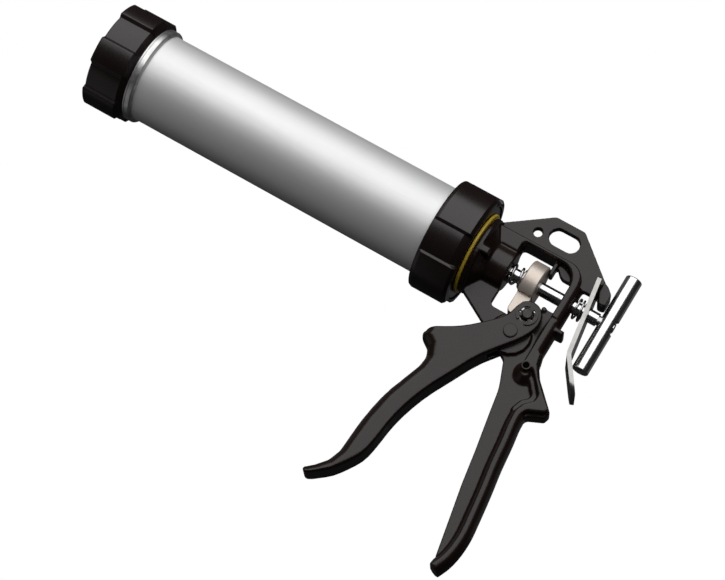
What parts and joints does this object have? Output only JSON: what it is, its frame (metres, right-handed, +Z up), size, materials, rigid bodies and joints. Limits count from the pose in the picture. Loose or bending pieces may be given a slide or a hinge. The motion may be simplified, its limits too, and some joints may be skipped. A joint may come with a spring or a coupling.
{
  "type": "caulking gun",
  "caption": "Barrel caulking gun: an open-bore tube with screwed end rings, a cast pistol handle with a long trigger, and a push rod with a T-bar and a thumb catch.",
  "frame": {"origin": "centre of the oblong hanging slot in the handle casting's web, on the gun's middle plane", "axes": "+X along the barrel and rod from the nozzle end to the T-bar, +Z up, +Y across the gun (the retaining clip of the drive pin is on the -Y side)"},
  "size_m": [0.3431, 0.071, 0.2169],
  "materials": {
    "casting": "satin charcoal powder coat",
    "tube": "satin anodised",
    "black_plastic": "satin black",
    "yellow_plastic": "mustard",
    "dark_steel": "dark, oiled",
    "beige_block": "satin beige",
    "spring_steel": "bright wire",
    "plated_steel": "bright zinc plate",
    "seal_rubber": "matt"
  },
  "bodies": {
    "frame": {"handle_casting": "casting", "hub_ring": "yellow_plastic", "barrel_tube": "tube", "pivot_rivet": "dark_steel"},
    "cap": {"front_cap": "black_plastic", "nozzle_plate": "black_plastic"},
    "nut": {"rear_ring_nut": "black_plastic"},
    "piston": {"piston_front_plate": "plated_steel", "piston_seal": "seal_rubber", "piston_rear_plate": "plated_steel"},
    "rod": {"push_rod": "plated_steel", "t_bar": "plated_steel", "piston_nut": "plated_steel", "piston_washer": "plated_steel"},
    "trigger": {"trigger": "casting", "drive_pin": "dark_steel", "e_clip": "dark_steel"},
    "block": {"drive_block": "beige_block", "block_spring": "spring_steel"},
    "catch": {"catch_plate": "plated_steel", "catch_spring": "spring_steel"}
  },
  "joints": [
    {"name": "cap_turn", "type": "hinge", "parent": "frame", "child": "cap", "pos_m": [-0.2808, 0, -0.0317], "axis": [1, 0, 0], "continuous": true},
    {"name": "nut_turn", "type": "hinge", "parent": "frame", "child": "nut", "pos_m": [-0.0528, 0, -0.0317], "axis": [1, 0, 0], "continuous": true},
    {"name": "rod_slide", "type": "slide", "parent": "frame", "child": "piston", "axis": [1, 0, 0], "range_m": [0, 0.204]},
    {"name": "rod_spin", "type": "hinge", "parent": "piston", "child": "rod", "pos_m": [-0.1108, 0, -0.0317], "axis": [1, 0, 0], "continuous": true},
    {"name": "trigger_pivot", "type": "hinge", "parent": "frame", "child": "trigger", "pos_m": [0.0014, 0, -0.0651], "axis": [0, -1, 0], "range_deg": [0, 24], "stiffness_Nm_per_rad": 0.5, "springref_deg": -20.05},
    {"name": "block_slide", "type": "slide", "parent": "frame", "child": "block", "axis": [-1, 0, 0], "range_m": [0, 0.0057], "deforming": ["block_spring"]},
    {"name": "catch_press", "type": "hinge", "parent": "frame", "child": "catch", "pos_m": [0.0304, 0, -0.0167], "axis": [0, 1, 0], "range_deg": [0, 8], "stiffness_Nm_per_rad": 0.6, "springref_deg": -6.88, "deforming": ["catch_spring"]}
  ],
  "couplings": [
    {"joint": "block_slide", "follows": "trigger_pivot", "m_per_rad": 0.01337}
  ]
}
